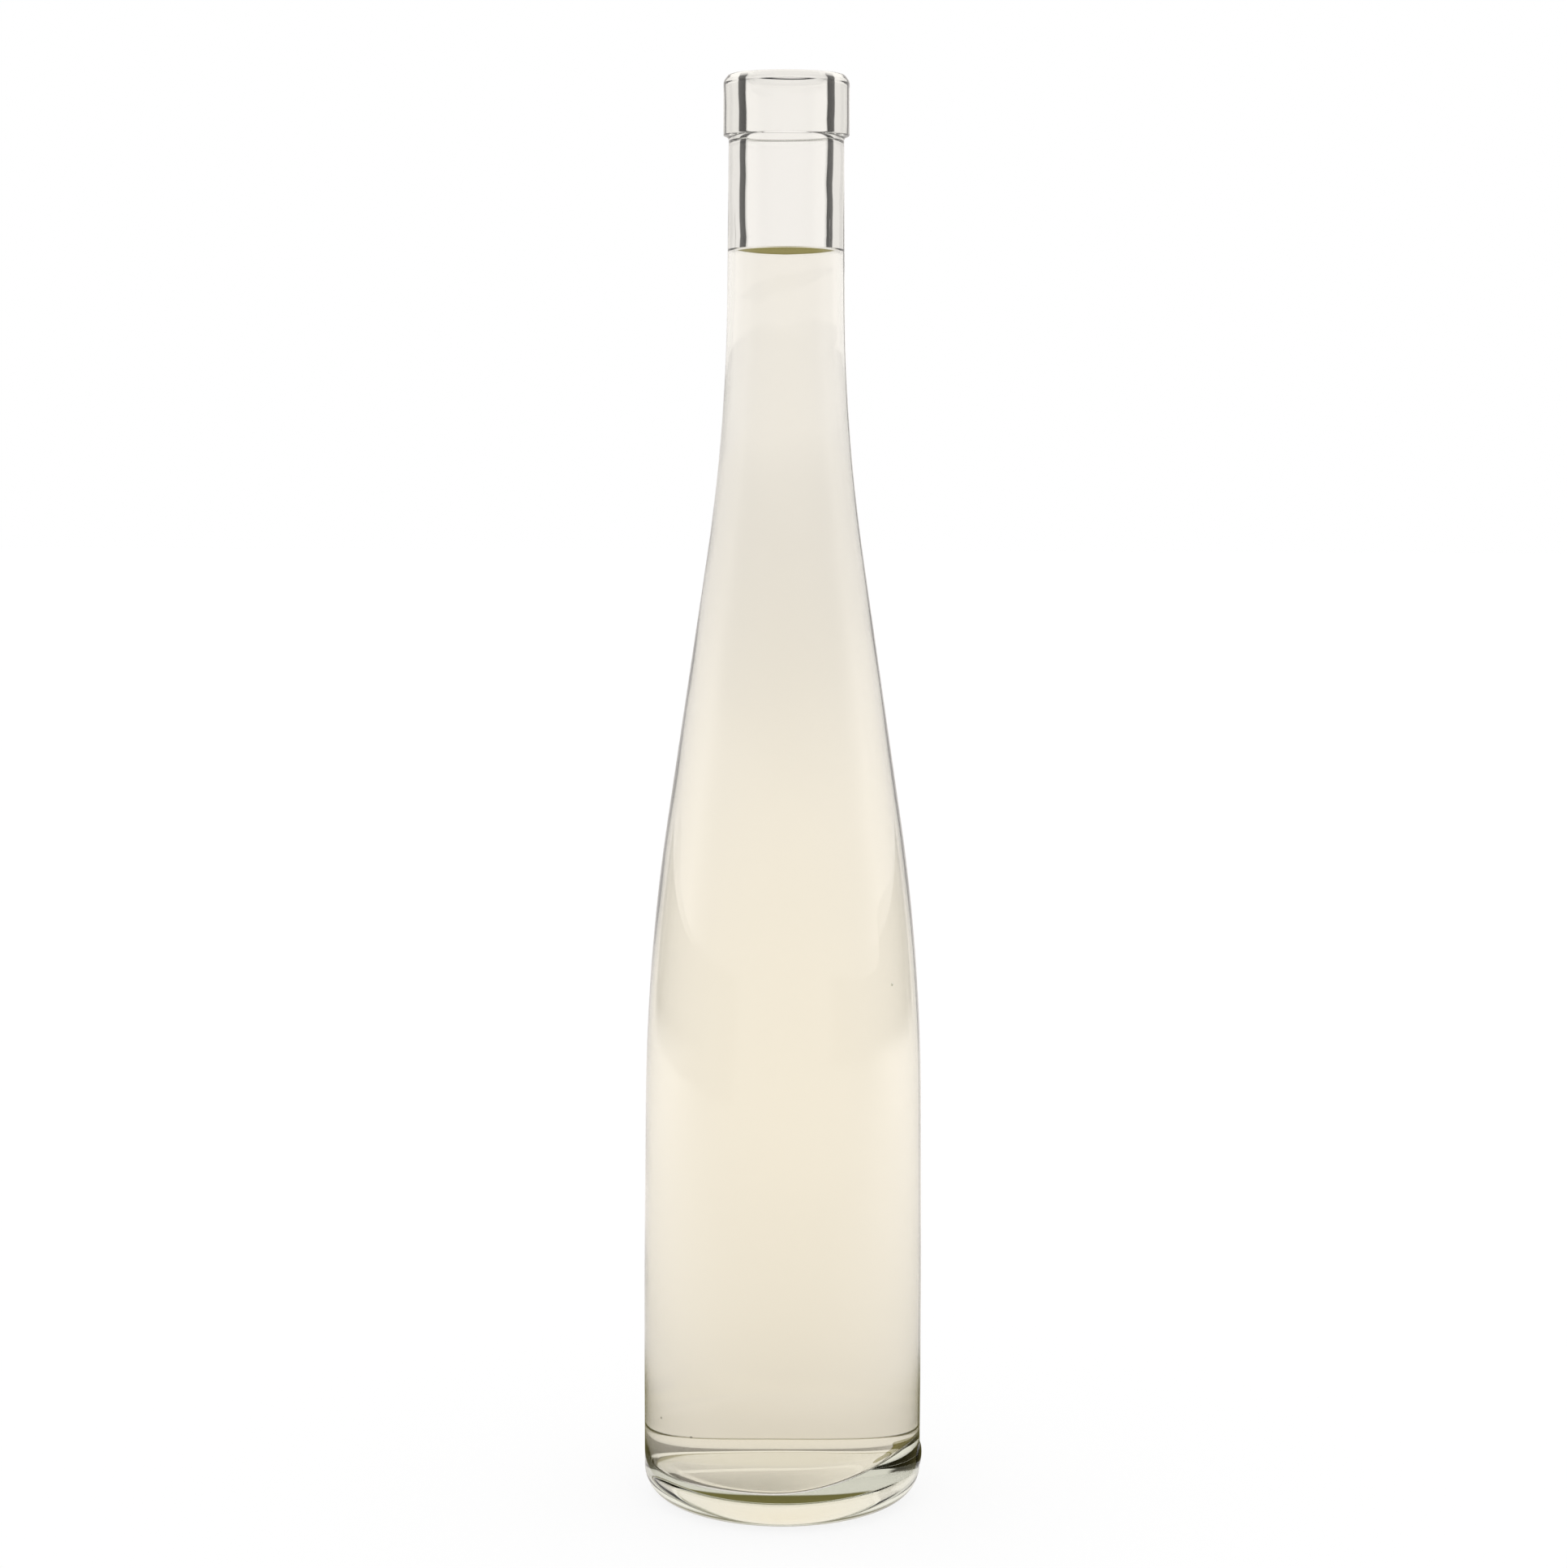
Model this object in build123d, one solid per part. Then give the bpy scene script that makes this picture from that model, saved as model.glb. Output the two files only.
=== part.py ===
from build123d import *
from math import ceil, cos, radians, sin, tan
import os

# A slender wine bottle of clear glass with a band ring at its mouth, and the wine standing in it.
# Lengths in millimetres. It stands on z = 0 with its axis on Z; the lug on its heel faces +X.
# A bend's reach is how far from the corner it starts, along either side; some are shares of the
# long slope between shoulder and neck.

# Outside of the bottle, from the foot up
total_height = 328.2
body_diameter = 64.6
push_up_depth = 4.3
push_up_crown_diameter = 38.0
foot_inset = 7.7
heel_reach = 6.5
shoulder_height = 123.5
shoulder_share = 0.32
neck_length = 79.7
neck_diameter = 27.2
neck_share = 0.235
throat_diameter = 26.1
throat_reach = 1.0

# Band ring round the mouth
band_diameter = 28.5
band_height = 14.0
band_underside_rise = 0.6
band_bevel_height = 1.5
band_bevel_width = 1.1
band_bevel_reach = 0.5
mouth_chamfer = 0.7

# Inside of the bottle
bore_diameter = 18.5
bore_length = 36.5
blown_neck_length = 72.7
blown_neck_diameter = 19.2
blown_neck_share = 0.22
body_wall = 2.35
inner_heel_flat = 1.3
floor_edge_height = 8.2
floor_crown_height = 10.9
floor_crown_diameter = 17.0

# Wine
fill_depth = 41.0
contact_angle = 30.0
meniscus_reach = 2.3

# Lug low on the side, by which a machine finds the bottle's front
lug_height = 5.3
lug_width = 8.0
lug_proud = 0.55
lug_centre_height = 8.9
lug_azimuth = -8.0
lug_sunk_share = 0.5

# Long bends are drawn in runs no longer than this, so that their facets stay few and even
longest_run = 19.0

overrun = 1.0


def bend(start, corner, end):
    """A circular arc from start to end, tangent to both sides of the corner, in even runs."""
    half_turn = radians((end - corner).get_angle(corner - start)) / 2
    arc = Edge.make_bezier(start, corner, end, weights=[1, cos(half_turn), 1])
    runs = ceil(arc.length / longest_run)
    return [arc.trim(run / runs, (run + 1) / runs) for run in range(runs)]


def turned(corners):
    """A solid of revolution whose half section has corners of (radius, height, reach of the bend)."""
    reaches = [reach for across, up, reach in corners]
    points = [Vector(across, up) for across, up, reach in corners]
    before = points[-1:] + points[:-1]
    after = points[1:] + points[:1]
    starts = [p + (b - p).normalized() * reach for b, p, reach in zip(before, points, reaches)]
    ends = [p + (a - p).normalized() * reach for a, p, reach in zip(after, points, reaches)]
    outline = [Edge.make_line(end, start) for end, start in zip(ends, starts[1:] + starts[:1])]
    for start, point, end, reach in zip(starts, points, ends, reaches):
        if reach > 0:
            outline += bend(start, point, end)
    return revolve(Plane.XZ * make_face(outline), Axis.Z)


def slope_length(wide, narrow, top):
    """How long the wall runs from the shoulder, at its wide radius, up to the narrow neck."""
    return Vector(wide - narrow, top - shoulder_height).length


def outside_corners():
    """From the top of the push-up, out over the foot and up to the brim."""
    body = body_diameter / 2
    neck = neck_diameter / 2
    neck_height = total_height - neck_length
    slope = slope_length(body, neck, neck_height)
    collar_height = total_height - band_height
    return [
        (0, push_up_depth, 0),
        (push_up_crown_diameter / 2, push_up_depth, 0),
        (body - foot_inset, 0, 0),
        (body, 0, heel_reach),
        (body, shoulder_height, slope * shoulder_share),
        (neck, neck_height, slope * neck_share),
        (throat_diameter / 2, collar_height, throat_reach),
        (band_diameter / 2, collar_height + band_underside_rise, 0),
        (band_diameter / 2, total_height - band_bevel_height, band_bevel_reach),
        (band_diameter / 2 - band_bevel_width, total_height, 0),
    ]


def inside_corners():
    """From the middle of the floor, out to the wall and up to the end of the straight bore."""
    body = body_diameter / 2 - body_wall
    neck = blown_neck_diameter / 2
    neck_height = total_height - blown_neck_length
    slope = slope_length(body, neck, neck_height)
    return [
        (0, floor_crown_height, 0),
        (floor_crown_diameter / 2, floor_crown_height, 0),
        (body - inner_heel_flat, floor_edge_height, 0),
        (body, floor_edge_height + inner_heel_flat, 0),
        (body, shoulder_height, slope * shoulder_share),
        (neck, neck_height, slope * blown_neck_share),
        (bore_diameter / 2, total_height - bore_length, 0),
    ]


def cavity():
    """The room inside the glass, from the floor up to the brim."""
    return turned(inside_corners() + [(bore_diameter / 2, total_height, 0), (0, total_height, 0)])


def lug():
    """A low oval swelling on the heel, sunk into the wall so that only its cap stands proud."""
    depth = lug_proud / (1 - lug_sunk_share)
    widening = 1 / (1 - lug_sunk_share**2) ** 0.5
    swelling = scale(Sphere(1), by=(depth, lug_width / 2 * widening, lug_height / 2 * widening))
    reach = body_diameter / 2 - depth * lug_sunk_share
    return Rot(0, 0, lug_azimuth) * Pos(reach, 0, lug_centre_height) * swelling


def glass_bottle():
    """The glass: outside and inside joined over the brim, with the lug on the heel."""
    brim = [
        (bore_diameter / 2 + mouth_chamfer, total_height, 0),
        (bore_diameter / 2, total_height - mouth_chamfer, 0),
    ]
    shell = turned(outside_corners() + brim + inside_corners()[::-1])
    return shell + (lug() - cavity())


def headspace():
    """The air above the wine, whose meniscus climbs to meet the glass at the contact angle."""
    level = total_height - fill_depth
    climb = radians(90 - contact_angle)
    corner = bore_diameter / 2 - meniscus_reach * cos(climb)
    side = body_diameter / 2
    rim = level + (side - corner) * tan(climb)
    top = max(rim, total_height) + overrun
    return turned([
        (0, level, 0),
        (corner, level, meniscus_reach),
        (side, rim, 0),
        (side, top, 0),
        (0, top, 0),
    ])


def wine():
    """The wine fills the cavity up to its level."""
    return cavity() - headspace()


os.makedirs("parts", exist_ok=True)
bottle = glass_bottle()
filling = wine()
export_step(bottle, "parts/glass_bottle.step")
export_step(filling, "parts/wine.step")
print(f"glass {bottle.volume / 1000:.1f} ml, wine {filling.volume / 1000:.1f} ml")
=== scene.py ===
import math

import bpy
import numpy as np
from mathutils import Matrix, Vector


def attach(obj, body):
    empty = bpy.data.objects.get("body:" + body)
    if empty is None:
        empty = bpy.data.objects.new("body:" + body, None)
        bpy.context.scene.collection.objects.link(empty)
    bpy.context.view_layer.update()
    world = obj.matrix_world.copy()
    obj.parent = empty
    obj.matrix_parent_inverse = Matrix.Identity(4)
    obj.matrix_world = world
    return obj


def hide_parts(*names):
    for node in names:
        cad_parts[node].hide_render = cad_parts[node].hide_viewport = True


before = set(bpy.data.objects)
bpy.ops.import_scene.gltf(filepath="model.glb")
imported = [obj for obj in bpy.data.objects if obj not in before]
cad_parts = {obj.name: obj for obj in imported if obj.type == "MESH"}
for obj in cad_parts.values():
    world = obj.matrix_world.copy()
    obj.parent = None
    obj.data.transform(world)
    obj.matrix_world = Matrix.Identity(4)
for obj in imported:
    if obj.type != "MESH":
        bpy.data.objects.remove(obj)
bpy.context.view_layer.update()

mm = 0.001
scene = bpy.context.scene


# Outlines in millimetres. A corner is its radius, its height, its reach (how far from the corner the
# bend starts, on both sides), the steps of its bend and the steps of the run that leads to it.
# Radius, height and reach may be arrays, with one value for each angle round the bottle.

def pointAlong(start, end, reach):
    way = end - start
    return start + way / np.linalg.norm(way, axis=-1, keepdims=True) * reach[:, None]


def bendPoints(start, corner, end, count):
    incoming = corner - start
    outgoing = end - corner
    across = np.linalg.norm(incoming, axis=-1) * np.linalg.norm(outgoing, axis=-1)
    turn = np.arccos(np.clip((incoming * outgoing).sum(axis=-1) / across, -1, 1))
    weight = np.cos(turn / 2)[:, None]
    rows = []
    for t in np.linspace(0, 1, count + 1):
        first, middle, last = (1 - t) ** 2, 2 * t * (1 - t) * weight, t ** 2
        rows.append((first * start + middle * corner + last * end) / (first + middle + last))
    return rows


def outlineRows(corners, angles):
    ones = np.ones(len(angles))
    points = [np.stack([radius * ones, height * ones], axis=-1) for radius, height, *rest in corners]
    rows = [points[0]]
    last = points[0]
    for n in range(1, len(points)):
        reach, bendSteps, runSteps = corners[n][2:]
        start = pointAlong(points[n], points[n - 1], reach * ones)
        for step in range(1, runSteps + 1):
            rows.append(last + (start - last) * step / runSteps)
        last = points[n]
        if bendSteps > 0:
            end = pointAlong(points[n], points[n + 1], reach * ones)
            rows += bendPoints(start, points[n], end, bendSteps)[1:]
            last = end
    return np.array(rows)


def meshPiece(name, points, faces, material):
    mesh = bpy.data.meshes.new(name)
    mesh.from_pydata(points, [], faces)
    mesh.polygons.foreach_set("use_smooth", [True] * len(mesh.polygons))
    mesh.materials.append(material)
    mesh.update()
    piece = bpy.data.objects.new(name, mesh)
    scene.collection.objects.link(piece)
    return piece


def turnedShell(rows, angles):
    # rows run from the axis below, round the section and back to the axis; first and last are poles
    across, up = rows[1:-1, :, 0], rows[1:-1, :, 1]
    grid = np.stack([across * np.cos(angles), across * np.sin(angles), up], axis=-1)
    bottom = [0.0, 0.0, rows[0, :, 1].mean()]
    top = [0.0, 0.0, rows[-1, :, 1].mean()]
    count, around = across.shape
    points = grid.reshape(-1, 3).tolist() + [bottom, top]
    bottomPoint, topPoint = count * around, count * around + 1
    lastRow = (count - 1) * around
    faces = []
    for j in range(around):
        k = (j + 1) % around
        faces.append((bottomPoint, k, j))
        for low in range(0, lastRow, around):
            high = low + around
            faces.append((low + j, low + k, high + k, high + j))
        faces.append((lastRow + j, lastRow + k, topPoint))
    return points, faces


# Angles round the bottle, in degrees from +X: fine by the lug and the seams, wider elsewhere

roundBottle = {
    "lugAzimuth": -8.0,
    "seamAzimuth": -11.0,  # the second seam is opposite
    "fineHalfWidth": 9.5,
    "fineStep": 0.3,
    "seamHalfWidth": 1.5,
    "wideStep": 1.5,
}


def anglesRound(plan):
    angles = []
    angle = -180.0
    while angle < 180.0 - plan["fineStep"] / 2:
        angles.append(angle)
        byLug = abs(angle - plan["lugAzimuth"]) < plan["fineHalfWidth"]
        bySeam = abs(angle - plan["seamAzimuth"] - 180) < plan["seamHalfWidth"]
        angle += plan["fineStep"] if byLug or bySeam else plan["wideStep"]
    return np.radians(np.array(angles))


angles = anglesRound(roundBottle)


# Outside of the glass, from the push-up to the brim

outside = {
    "pushUpDepth": 4.19,
    "pushUpCrown": 21.13,
    "pushUpReach": 3.53,
    "footReach": 0.26,
    "footRadius": 25.25,
    "heelRadius": 32.35,
    "heelReach": 6.79,
    "lugTop": 13.5,
    "waistHeight": 53.0,
    "waistRadius": 32.4,
    "waistReach": 8.8,
    "shoulderHeight": 126.7,
    "shoulderRadius": 31.75,
    "shoulderReach": 32.9,
    "neckHeight": 248.7,
    "neckRadius": 13.6,
    "neckReach": 29.1,
    "collarHeight": 314.2,
    "collarRadius": 13.05,
    "collarReach": 0.7,
    "bandRadius": 14.25,
    "undersideRise": 0.45,
    "undersideReach": 0.25,
    "bevelHeight": 1.5,
    "bevelWidth": 1.1,
    "bevelReach": 0.5,
    "height": 328.2,
    "brimGap": 0.02,
}


def outsideRows(s, bore):
    top = s["height"]
    return outlineRows([
        (0.0, s["pushUpDepth"], 0.0, 0, 0),
        (s["pushUpCrown"], s["pushUpDepth"], s["pushUpReach"], 16, 1),
        (s["footRadius"], 0.0, s["footReach"], 8, 8),
        (s["heelRadius"], 0.0, s["heelReach"], 26, 4),
        (s["heelRadius"], s["lugTop"], 0.0, 0, 26),
        (s["waistRadius"], s["waistHeight"], s["waistReach"], 4, 14),
        (s["shoulderRadius"], s["shoulderHeight"], s["shoulderReach"], 26, 26),
        (s["neckRadius"], s["neckHeight"], s["neckReach"], 22, 12),
        (s["collarRadius"], s["collarHeight"], s["collarReach"], 8, 30),
        (s["bandRadius"], s["collarHeight"] + s["undersideRise"], s["undersideReach"], 8, 22),
        (s["bandRadius"], top - s["bevelHeight"], s["bevelReach"], 8, 3),
        (s["bandRadius"] - s["bevelWidth"], top, s["bevelReach"], 10, 10),
        (bore["boreRadius"] + s["brimGap"], top, 0.0, 0, 5),
    ], angles)


# Inside of the glass, from the floor up

inside = {
    "crownHeight": 9.82,
    "crownRadius": 15.58,
    "crownReach": 7.79,
    "floorEdge": 8.38,
    "wallRadius": 29.95,
    "heelReach": 1.13,
    "farHeelReach": 0.35,
    "floorRise": 6.5,
    "riseAzimuth": -12.0,
    "riseBefore": 85.0,
    "riseAfter": 70.0,
    "shoulderHeight": 124.5,
    "shoulderRadius": 29.5,
    "shoulderReach": 38.0,
    "neckHeight": 255.5,
    "neckRadius": 9.6,
    "neckReach": 28.0,
    "boreStart": 291.7,
    "boreRadius": 9.25,
    "boreReach": 0.5,
    "wineTop": 289.5,
    "mouthReach": 0.8,
    "mouthLip": 0.82,
}


def floorRiseRound(s):
    # The floor is thicker on the lug's side, where the glass settled while it was soft
    away = np.degrees(angles) - s["riseAzimuth"]
    spread = np.where(away < 0, s["riseBefore"], s["riseAfter"])
    share = np.where(np.abs(away) < spread, np.cos(np.radians(away / spread * 90)) ** 2, 0.0)
    return s["floorRise"] * share


def heelReachRound(s):
    # The bend between floor and wall is sharper on the far side, where it shows as a thin line
    far = np.clip(np.sin(angles), 0, 1) ** 2
    return s["heelReach"] + (s["farHeelReach"] - s["heelReach"]) * far


def insideRows(s, top):
    taper = (s["neckRadius"] - s["boreRadius"]) / (s["boreStart"] - s["neckHeight"])
    edge = s["neckRadius"] - taper * (s["wineTop"] - s["neckHeight"])
    belowWineTop = [
        (0.0, s["crownHeight"], 0.0, 0, 0),
        (s["crownRadius"], s["crownHeight"], s["crownReach"], 16, 1),
        (s["wallRadius"], s["floorEdge"] + floorRiseRound(s), heelReachRound(s), 24, 12),
        (s["shoulderRadius"], s["shoulderHeight"], s["shoulderReach"], 26, 40),
        (s["neckRadius"], s["neckHeight"], s["neckReach"], 24, 34),
        (edge, s["wineTop"], 0.0, 0, 10),
    ]
    aboveWineTop = [
        (s["boreRadius"], s["boreStart"], s["boreReach"], 3, 2),
        (s["boreRadius"], top, s["mouthReach"], 10, 18),
        (s["boreRadius"] + s["mouthLip"], top, 0.0, 0, 1),
    ]
    wineRow = sum(bendSteps + runSteps for *corner, bendSteps, runSteps in belowWineTop)
    return outlineRows(belowWineTop + aboveWineTop, angles), wineRow


ripples = {  # height of the wave, how often round the bottle, length up the wall, phase
    "body": [(0.05, 2, 90.0, 0.8), (0.04, 3, 47.0, 2.0), (0.03, 5, 29.0, 4.1)],
    "bore": [(0.05, 1, 31.0, 0.4), (0.035, 2, 13.0, 1.9), (0.02, 3, 7.0, 3.0)],
    "boreFrom": 235.0,
    "boreBlend": 40.0,
    "floorFade": 20.0,
}


def waves(waveList, up):
    total = 0.0
    for height, times, length, phase in waveList:
        total = total + height * np.sin(times * angles[None, :] + up / length * 2 * math.pi + phase)
    return total


def rippled(rows, s):
    up = rows[:, :, 1]
    share = np.clip((up - s["boreFrom"]) / s["boreBlend"], 0, 1)
    fade = np.clip((up - inside["floorEdge"]) / s["floorFade"], 0, 1)
    move = waves(s["body"], up) * (1 - share) + waves(s["bore"], up) * share
    rows = rows.copy()
    rows[:, :, 0] += move * fade
    return rows


# Lug low on the right, and the fine ridges where the mould's halves met

lug = {"halfWidth": 4.0, "halfHeight": 2.65, "proud": 0.55, "height": 10.2, "wallDepth": 4.0}
seam = {"proud": 0.05, "width": 0.16, "from": 12.0, "fade": 6.0, "to": 300.0}


def withLug(rows, s):
    rows = rows.copy()
    across, up = rows[:, :, 0], rows[:, :, 1]
    side = (angles - math.radians(roundBottle["lugAzimuth"]))[None, :] * outside["heelRadius"]
    away = (side / s["halfWidth"]) ** 2 + ((up - s["height"]) / s["halfHeight"]) ** 2
    cap = s["proud"] * np.sqrt(np.clip(1 - away, 0, 1))
    onWall = across > outside["heelRadius"] - s["wallDepth"]
    rows[:, :, 0] += np.where(onWall, cap, 0)
    return rows


def withSeams(rows, s):
    rows = rows.copy()
    across, up = rows[:, :, 0], rows[:, :, 1]
    start = np.clip((up - s["from"]) / s["fade"], 0, 1)
    stop = np.clip((s["to"] - up) / s["fade"], 0, 1)
    for turn in (0, math.pi):
        away = angles - math.radians(roundBottle["seamAzimuth"]) - turn
        away = (away + math.pi) % (2 * math.pi) - math.pi
        ridge = s["proud"] * np.exp(-(away[None, :] * across / s["width"]) ** 2)
        rows[:, :, 0] += ridge * start * stop
    return rows


# Seeds: small bubbles of air, as shells that face inwards. Each is set a depth below the outside's
# radius, which is read from seedRows, from the foot to 77 mm up. Seeds above them get the radius at
# 77 mm: the one at 124 mm lies just outside the wall, and the one at 150 mm is 3 mm outside it.

seedRows = slice(30, 120)
seeds = [  # azimuth in degrees, height, depth below the outside, half length up, half width
    (-38.0, 124.0, 1.1, 0.36, 0.22),
    (-12.5, 110.0, 0.9, 0.62, 0.16),
    (-13.0, 34.0, 1.0, 0.55, 0.15),
    (-151.0, 22.0, 1.2, 0.30, 0.22),
    (-131.0, 20.0, 1.3, 0.22, 0.34),
    (62.0, 88.0, 1.2, 0.35, 0.20),
    (128.0, 150.0, 1.0, 0.42, 0.20),
]


def seedShell(azimuth, height, depth, halfUp, halfWide, wallRadius):
    points, faces = [], []
    around, levels = 12, 8
    turn = Matrix.Rotation(math.radians(azimuth), 4, "Z")
    centre = Vector((wallRadius - depth, 0, height))
    for level in range(1, levels):
        polar = math.pi * level / levels
        for step in range(around):
            angle = 2 * math.pi * step / around
            ball = Vector((math.sin(polar) * math.cos(angle) * halfWide,
                           math.sin(polar) * math.sin(angle) * halfWide,
                           math.cos(polar) * halfUp))
            points.append(turn @ (centre + ball))
    top, low = len(points), len(points) + 1
    points.append(turn @ (centre + Vector((0, 0, halfUp))))
    points.append(turn @ (centre - Vector((0, 0, halfUp))))
    lastRow = (levels - 2) * around
    for step in range(around):
        after = (step + 1) % around
        faces.append((top, after, step))
        for row in range(0, lastRow, around):
            a, b = row + step, row + after
            faces.append((a, b, b + around, a + around))
        faces.append((lastRow + step, lastRow + after, low))
    return [list(p) for p in points], faces


# Materials

def newMaterial(name):
    material = bpy.data.materials.new(name)
    material.use_nodes = True
    return material


def addNode(tree, kind, **values):
    node = tree.nodes.new(kind)
    for name, value in values.items():
        setattr(node, name, value)
    return node


def clearMaterial(name, look):
    # A clear body that light passes through, tinted by how far it goes inside
    material = newMaterial(name)
    tree = material.node_tree
    shader = tree.nodes["Principled BSDF"]
    shader.inputs["Base Color"].default_value = (1, 1, 1, 1)
    shader.inputs["Roughness"].default_value = 0.0
    shader.inputs["IOR"].default_value = look["ior"]
    shader.inputs["Transmission Weight"].default_value = 1.0
    tint = addNode(tree, "ShaderNodeVolumeAbsorption")
    tint.inputs["Color"].default_value = look["tint"]
    tint.inputs["Density"].default_value = look["tintDensity"]
    tree.links.new(tint.outputs["Volume"], tree.nodes["Material Output"].inputs["Volume"])
    return material


glassLook = {
    "ior": 1.52,
    "tintDensity": 5.0,
    "tint": (0.42, 0.52, 0.1, 1.0),
    "rippleScale": 60.0,
    "rippleDetail": 1.0,
    "rippleStretch": (1.0, 1.0, 0.35),
    "rippleStrength": 1.0,
    "rippleHeight": 0.00002,
}


def clearGlass(look):
    material = clearMaterial("flint_glass_clear", look)
    tree = material.node_tree
    place = addNode(tree, "ShaderNodeTexCoord")
    stretch = addNode(tree, "ShaderNodeMapping")
    stretch.inputs["Scale"].default_value = look["rippleStretch"]
    ripple = addNode(tree, "ShaderNodeTexNoise")
    ripple.inputs["Scale"].default_value = look["rippleScale"]
    ripple.inputs["Detail"].default_value = look["rippleDetail"]
    bump = addNode(tree, "ShaderNodeBump")
    bump.inputs["Strength"].default_value = look["rippleStrength"]
    bump.inputs["Distance"].default_value = look["rippleHeight"]
    tree.links.new(place.outputs["Object"], stretch.inputs["Vector"])
    tree.links.new(stretch.outputs["Vector"], ripple.inputs["Vector"])
    tree.links.new(ripple.outputs["Fac"], bump.inputs["Height"])
    tree.links.new(bump.outputs["Normal"], tree.nodes["Principled BSDF"].inputs["Normal"])
    return material


wineLook = {
    "ior": 1.34,
    "tintDensity": 5.0,
    "tint": (0.95, 0.78, 0.3, 1.0),
}


def paleWine(look):
    return clearMaterial("pale_wine_clear", look)


# The bottle

insideRow, wineRow = insideRows(inside, outside["height"])
insideRow = rippled(insideRow, ripples)
outsideRow = withSeams(withLug(outsideRows(outside, inside), lug), seam)
# The outside's last rows on the brim are left off, because the inside's lip takes their place
lipRows = 2
glassRows = np.concatenate([outsideRow[:-lipRows], insideRow[::-1]])
points, faces = turnedShell(glassRows * mm, angles)
for azimuth, height, depth, halfUp, halfWide in seeds:
    column = int(np.argmin(np.abs(np.degrees(angles) - azimuth)))
    lowWall = outsideRow[seedRows, column]
    wall = float(np.interp(height, lowWall[:, 1], lowWall[:, 0]))
    lengths = [length * mm for length in (height, depth, halfUp, halfWide, wall)]
    shell, shellFaces = seedShell(azimuth, *lengths)
    start = len(points)
    points += shell
    faces += [tuple(index + start for index in face) for face in shellFaces]
glass = meshPiece("glass_shell", points, faces, clearGlass(glassLook))
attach(glass, "root")
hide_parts("glass_bottle")
print("glass:", len(points), "points")


# The wine

filling = {
    "level": 287.8,
    "overlap": 0.04,
    "meniscusSpread": 3.6,
    "surfaceSteps": 28,
}


def wineRows(rows, s):
    # The wine reaches a hair into the glass, so that light passes from one to the other without air
    way = np.gradient(rows, axis=0)
    length = np.linalg.norm(way, axis=-1, keepdims=True)
    outward = np.stack([way[:, :, 1], -way[:, :, 0]], axis=-1) / length
    wall = rows + outward * s["overlap"]
    wall[0, :, 0] = 0
    edge = wall[-1]
    climb = edge[:, 1] - s["level"]
    surface = []
    for step in range(1, s["surfaceSteps"] + 1):
        gone = (step / s["surfaceSteps"]) ** 2
        across = edge[:, 0] * (1 - gone)
        up = s["level"] + climb * np.exp(-edge[:, 0] * gone / s["meniscusSpread"])
        surface.append(np.stack([across, up], axis=-1))
    return np.concatenate([wall, np.array(surface)])


points, faces = turnedShell(wineRows(insideRow[:wineRow + 1], filling) * mm, angles)
wine = meshPiece("wine_fill", points, faces, paleWine(wineLook))
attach(wine, "root")
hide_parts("wine")
print("wine:", len(points), "points")


# Floor and studio: lengths in metres, angles in degrees, paths in surfaces of glass or wine that a
# ray has crossed. Rays that a surface reflected (bounced) find dark sides, a dim front and an olive
# floor. On the floor the dark is painted shade and the olive is a painted reflection.

studio = {
    "floorHalf": 6.0,
    "floorColour": 0.8,
    "shadowShare": 0.18,
    "whiteLevel": 1.01,
    "worldLevel": 1.0,
    "behindLevel": 1.03,
    "behindColour": (1.0, 0.963, 0.928, 1.0),
    "frontLevel": 0.12,
    "deepFrontLevel": 0.45,
    "frontSoft": 0.35,
    "frontFloorSoft": 0.3,
    "bouncedLevel": 0.82,
    # painted olive reflection that bounced rays see on the floor
    "paintedOliveReflection": (0.3, 0.265, 0.1, 1.0),
    "oliveFrom": 0.0465,
    "oliveFromSoft": 0.001,
    "oliveTo": 0.12,
    "oliveToSoft": 0.03,
    "panelFrom": 41.0,
    "panelTo": 72.0,
    "panelSoft": 3.0,
    "panelTop": 0.85,
    "panelTopSoft": 0.1,
    "panelLevel": 0.07,
    "anyPath": 0.5,  # depths are whole numbers, so this parts none from one
    "shortPath": 3.5,
    "longPath": 4.5,
    "tableHalf": 0.7,
    "tableSoft": 0.3,
    "floorRiseTo": 5.5,
    "throughTop": 1.25,
    # Floor glow through the glass by distance: the dip near the foot is a painted shadow of the
    # bottle, the rise behind it a painted pool of light
    "paintedFloorShadowAndLight": [(0.0, 0.80), (0.037, 0.83), (0.106, 0.92), (0.18, 1.01), (0.275, 1.06),
                     (0.5, 1.10), (0.72, 1.08), (1.09, 0.99), (1.6, 0.96)],
}


def feed(tree, socket, value):
    if isinstance(value, (int, float)):
        socket.default_value = value
    else:
        tree.links.new(value, socket)


def mathNode(tree, operation, *values):
    node = addNode(tree, "ShaderNodeMath", operation=operation)
    for socket, value in zip(node.inputs, values):
        feed(tree, socket, value)
    return node.outputs[0]


def times(tree, first, second):
    return mathNode(tree, "MULTIPLY", first, second)


def flipped(tree, value):
    return mathNode(tree, "SUBTRACT", 1.0, value)


def softStep(tree, value, start, end):
    node = addNode(tree, "ShaderNodeMapRange", interpolation_type="SMOOTHSTEP")
    node.inputs["From Min"].default_value = start
    node.inputs["From Max"].default_value = end
    tree.links.new(value, node.inputs["Value"])
    return node.outputs["Result"]


def softEdge(tree, value, middle, soft):
    return softStep(tree, value, middle - soft, middle + soft)


def mixColour(tree, share, first, second):
    node = addNode(tree, "ShaderNodeMix", data_type="RGBA")
    ends = [socket for socket in node.inputs if socket.type == "RGBA"]
    ends[0].default_value, ends[1].default_value = first, second
    tree.links.new(share, node.inputs["Factor"])
    return [socket for socket in node.outputs if socket.type == "RGBA"][0]


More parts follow.
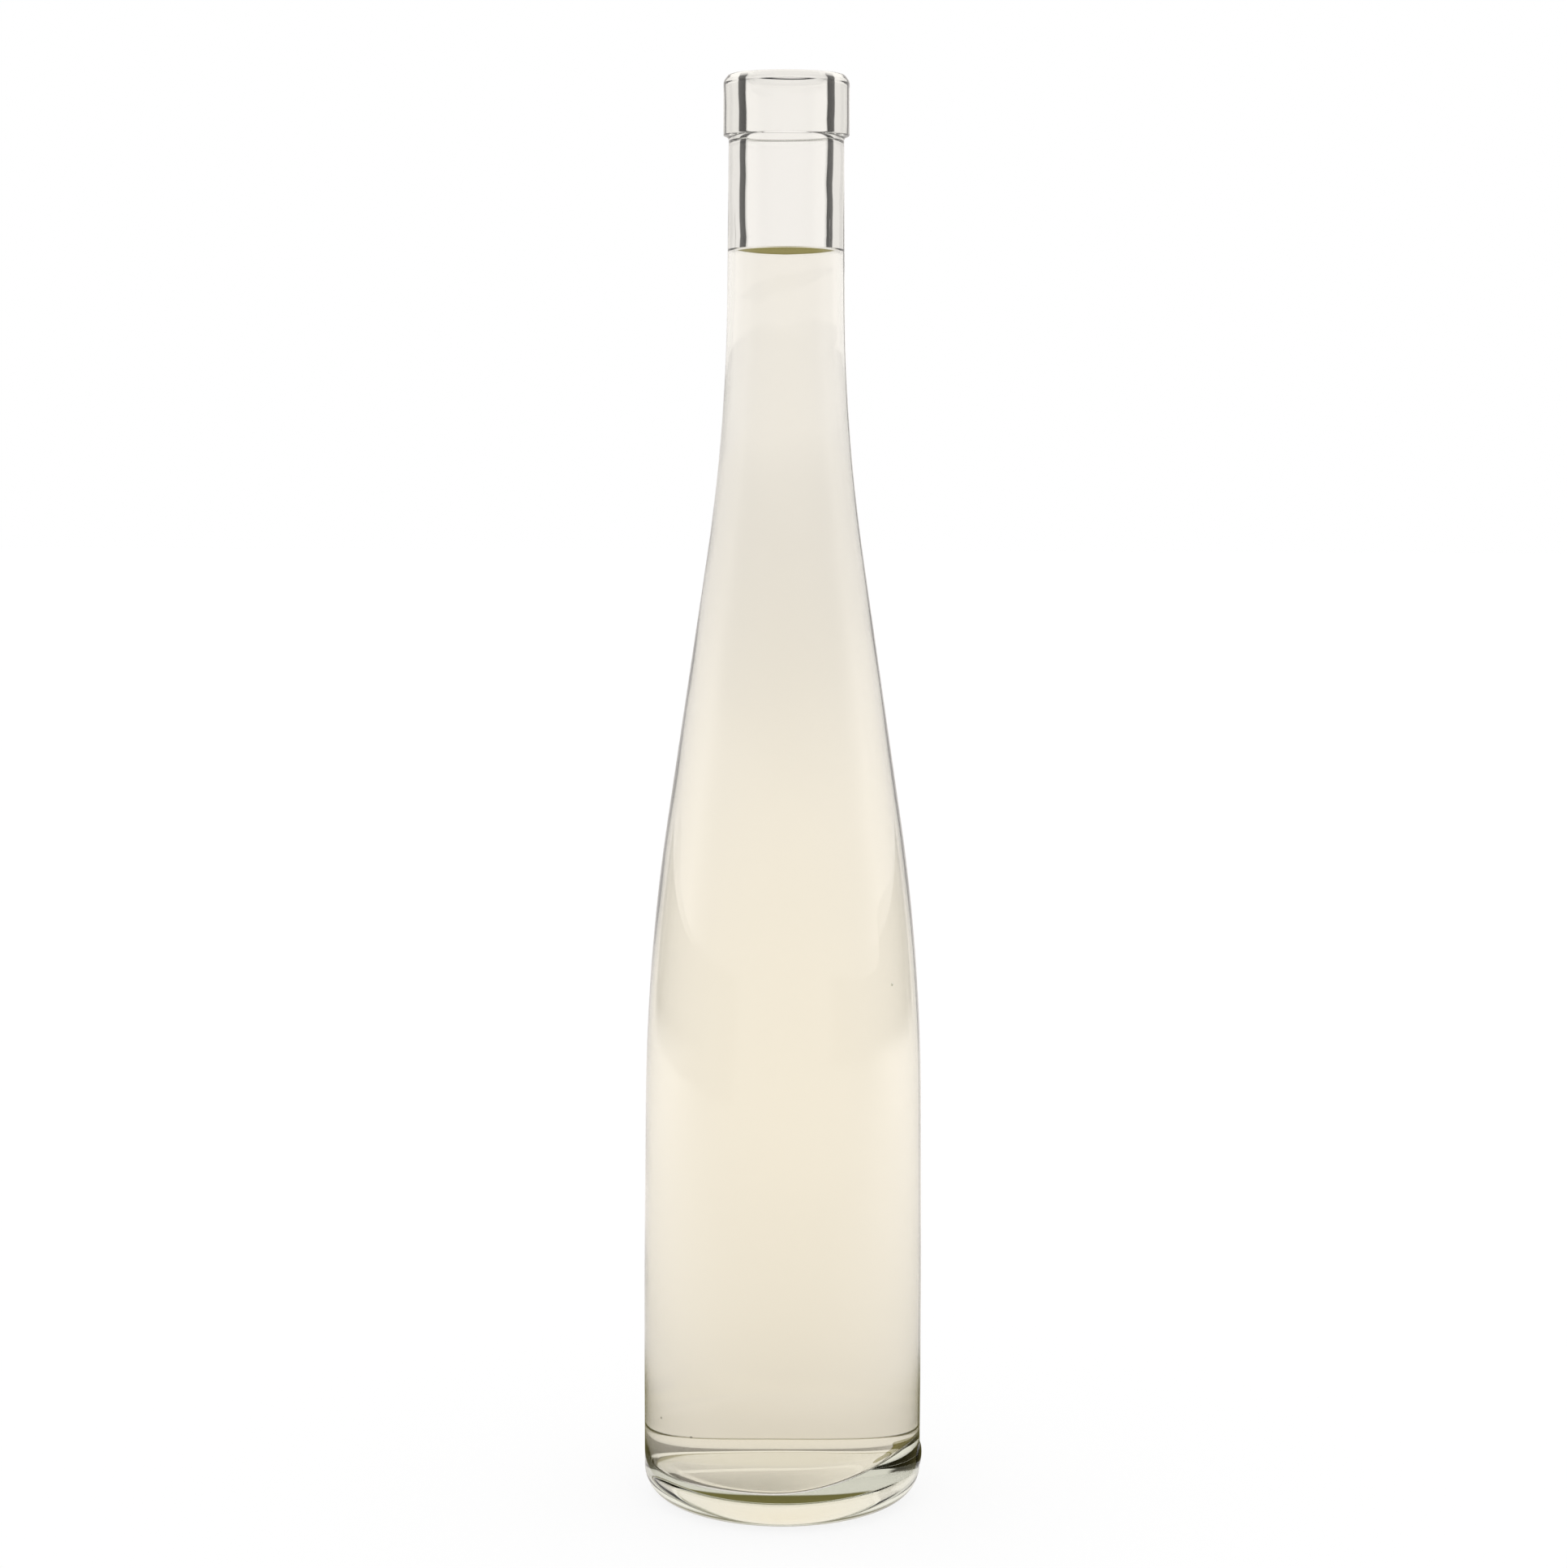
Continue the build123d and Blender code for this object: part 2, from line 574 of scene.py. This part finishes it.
def mixShader(tree, share, first, second):
    node = addNode(tree, "ShaderNodeMixShader")
    feed(tree, node.inputs["Fac"], share)
    tree.links.new(first.outputs[0], node.inputs[1])
    tree.links.new(second.outputs[0], node.inputs[2])
    return node


def pathGates(tree, s):
    path = addNode(tree, "ShaderNodeLightPath")
    bounced = mathNode(tree, "GREATER_THAN", path.outputs["Glossy Depth"], s["anyPath"])
    short = mathNode(tree, "LESS_THAN", path.outputs["Transmission Depth"], s["shortPath"])
    return path, bounced, short


def placeParts(tree, place):
    parts = addNode(tree, "ShaderNodeSeparateXYZ")
    tree.links.new(place, parts.inputs[0])
    return parts


def degreesAside(tree, parts):
    across = mathNode(tree, "ABSOLUTE", parts.outputs["X"])
    along = mathNode(tree, "ABSOLUTE", parts.outputs["Y"])
    return mathNode(tree, "DEGREES", mathNode(tree, "ARCTAN2", across, along))


def frontDark(tree, s, towards, soft, bounced, short):
    # How much light bounced rays lose on the viewer's side, less of it after a longer path
    front = flipped(tree, softEdge(tree, towards, 0.0, soft))
    nearer = times(tree, short, s["deepFrontLevel"] - s["frontLevel"])
    shade = mathNode(tree, "ADD", 1 - s["deepFrontLevel"], nearer)
    return times(tree, times(tree, front, bounced), shade)


def floorStraight(tree, s, path):
    # Seen straight from the camera: white, with a share of the real shading so that the shadow shows
    matt = addNode(tree, "ShaderNodeBsdfDiffuse")
    matt.inputs["Color"].default_value = (s["floorColour"],) * 3 + (1,)
    white = addNode(tree, "ShaderNodeEmission")
    lost = s["shadowShare"] * (1 - s["floorColour"]) / (1 - s["shadowShare"])
    white.inputs["Strength"].default_value = s["whiteLevel"] + lost
    seen = mixShader(tree, s["shadowShare"], white, matt)
    return mixShader(tree, path.outputs["Is Camera Ray"], matt, seen)


def paintedFloorShading(tree, s, distance):
    # Seen through the glass the floor glows, with a painted shadow of the bottle that darkens it
    # near the foot and a painted pool of light that makes it brightest a little way behind the
    # bottle. The far end comes up to the level of the studio behind it, so that no edge shows
    levels, top = s["paintedFloorShadowAndLight"], s["throughTop"]
    far, farLevel = levels[-1]
    ramp = addNode(tree, "ShaderNodeFloatCurve")
    curve = ramp.mapping.curves[0]
    curve.points[0].location = (levels[0][0] / far, levels[0][1] / top)
    curve.points[1].location = (1.0, farLevel / top)
    for away, level in levels[1:-1]:
        curve.points.new(away / far, level / top)
    for point in curve.points:
        point.handle_type = "AUTO_CLAMPED"
    ramp.mapping.update()
    share = mathNode(tree, "DIVIDE", distance, far)
    tree.links.new(mathNode(tree, "MINIMUM", share, 1.0), ramp.inputs["Value"])
    rise = times(tree, softStep(tree, distance, far, s["floorRiseTo"]), s["behindLevel"] - farLevel)
    return mathNode(tree, "ADD", times(tree, ramp.outputs[0], top), rise)


def floorPaintedShade(tree, s, distance, parts, bounced, short):
    # Painted shade on the floor for bounced rays: darker on the viewer's side, and towards the side
    # panels beyond the table
    front = frontDark(tree, s, parts.outputs["Y"], s["frontFloorSoft"], bounced, short)
    side = softEdge(tree, degreesAside(tree, parts), s["panelFrom"], s["panelSoft"])
    beyond = softStep(tree, distance, s["tableHalf"], s["tableHalf"] + s["tableSoft"])
    panel = times(tree, times(tree, side, beyond), times(tree, bounced, 1 - s["panelLevel"]))
    return mathNode(tree, "MAXIMUM", front, panel)


def floorMaterial(s):
    material = newMaterial("floor_white")
    tree = material.node_tree
    tree.nodes.remove(tree.nodes["Principled BSDF"])
    path, bounced, short = pathGates(tree, s)
    place = addNode(tree, "ShaderNodeTexCoord").outputs["Object"]
    parts = placeParts(tree, place)
    flat = addNode(tree, "ShaderNodeVectorMath", operation="LENGTH")
    tree.links.new(place, flat.inputs[0])
    distance = flat.outputs["Value"]
    # Bounced rays see an olive floor, a painted reflection and not the floor's own colour: after a
    # long path all of it, else only a ring round the foot. Inside the ring it is pale and not
    # darkened
    past = softEdge(tree, distance, s["oliveFrom"], s["oliveFromSoft"])
    ring = mathNode(tree, "SUBTRACT", past, softEdge(tree, distance, s["oliveTo"], s["oliveToSoft"]))
    long = mathNode(tree, "GREATER_THAN", path.outputs["Transmission Depth"], s["longPath"])
    olive = times(tree, mathNode(tree, "MAXIMUM", ring, long), bounced)
    # The painted shade dims the floor's glow, none of it inside the ring
    dark = times(tree, floorPaintedShade(tree, s, distance, parts, bounced, short), past)
    glow = addNode(tree, "ShaderNodeEmission")
    colour = mixColour(tree, olive, s["behindColour"], s["paintedOliveReflection"])
    strength = times(tree, paintedFloorShading(tree, s, distance), flipped(tree, dark))
    tree.links.new(colour, glow.inputs["Color"])
    tree.links.new(strength, glow.inputs["Strength"])
    depth = mathNode(tree, "ADD", path.outputs["Transmission Depth"], path.outputs["Glossy Depth"])
    deep = mathNode(tree, "GREATER_THAN", depth, s["anyPath"])
    direct = mathNode(tree, "LESS_THAN", path.outputs["Diffuse Depth"], s["anyPath"])
    through = mixShader(tree, times(tree, deep, direct), floorStraight(tree, s, path), glow)
    tree.links.new(through.outputs[0], tree.nodes["Material Output"].inputs["Surface"])
    return material


def studioWorld(s):
    world = bpy.data.worlds.new("studio")
    world.use_nodes = True
    scene.world = world
    tree = world.node_tree
    path, bounced, short = pathGates(tree, s)
    parts = placeParts(tree, addNode(tree, "ShaderNodeTexCoord").outputs["Generated"])
    throughGlass = mathNode(tree, "GREATER_THAN", path.outputs["Transmission Depth"], s["anyPath"])
    gate = times(tree, bounced, times(tree, short, throughGlass))
    # Dark panels at both sides, up to a height
    degrees = degreesAside(tree, parts)
    opening = softEdge(tree, degrees, s["panelFrom"], s["panelSoft"])
    closing = softEdge(tree, degrees, s["panelTo"], s["panelSoft"])
    high = softStep(tree, parts.outputs["Z"], s["panelTop"], s["panelTop"] + s["panelTopSoft"])
    side = mathNode(tree, "SUBTRACT", opening, closing)
    panel = times(tree, times(tree, side, flipped(tree, high)), gate)
    front = frontDark(tree, s, parts.outputs["Y"], s["frontSoft"], bounced, short)
    dim = times(tree, flipped(tree, front), flipped(tree, times(tree, panel, 1 - s["panelLevel"])))
    # White to the camera, a little warmer and brighter through the glass, duller to short bounces
    seen = mathNode(tree, "MAXIMUM", throughGlass, bounced)
    brighter = times(tree, seen, s["behindLevel"] - s["worldLevel"])
    duller = times(tree, gate, s["behindLevel"] - s["bouncedLevel"])
    plain = mathNode(tree, "ADD", brighter, s["worldLevel"])
    plain = mathNode(tree, "SUBTRACT", plain, duller)
    background = tree.nodes["Background"]
    tree.links.new(times(tree, plain, dim), background.inputs["Strength"])
    colour = mixColour(tree, seen, (1, 1, 1, 1), s["behindColour"])
    tree.links.new(colour, background.inputs["Color"])


def makeFloor(s):
    half = s["floorHalf"]
    corners = [(-half, -half, 0), (half, -half, 0), (half, half, 0), (-half, half, 0)]
    floor = meshPiece("floor", corners, [(0, 1, 2, 3)], floorMaterial(s))


studioWorld(studio)
makeFloor(studio)
print("studio: floor and light")


# Camera at the photograph's viewing angle

viewpoint = {
    "place": (-0.0002, -0.7627, 0.2492),
    "tiltDown": 6.118,
    "roll": 0.183,
    "lens": 76.40,
    "sensor": 36.0,
    "clipStart": 0.01,
}


def makeCamera(s):
    data = bpy.data.cameras.new("camera")
    data.sensor_fit = "HORIZONTAL"
    data.sensor_width = s["sensor"]
    data.lens = s["lens"]
    data.clip_start = s["clipStart"]
    camera = bpy.data.objects.new("camera", data)
    turn = Matrix.Rotation(math.radians(90 - s["tiltDown"]), 4, "X")
    lean = Matrix.Rotation(math.radians(s["roll"]), 4, "Z")
    camera.matrix_world = Matrix.Translation(s["place"]) @ turn @ lean
    scene.collection.objects.link(camera)
    scene.camera = camera


makeCamera(viewpoint)
scene.view_settings.view_transform = "Standard"
print("camera set")
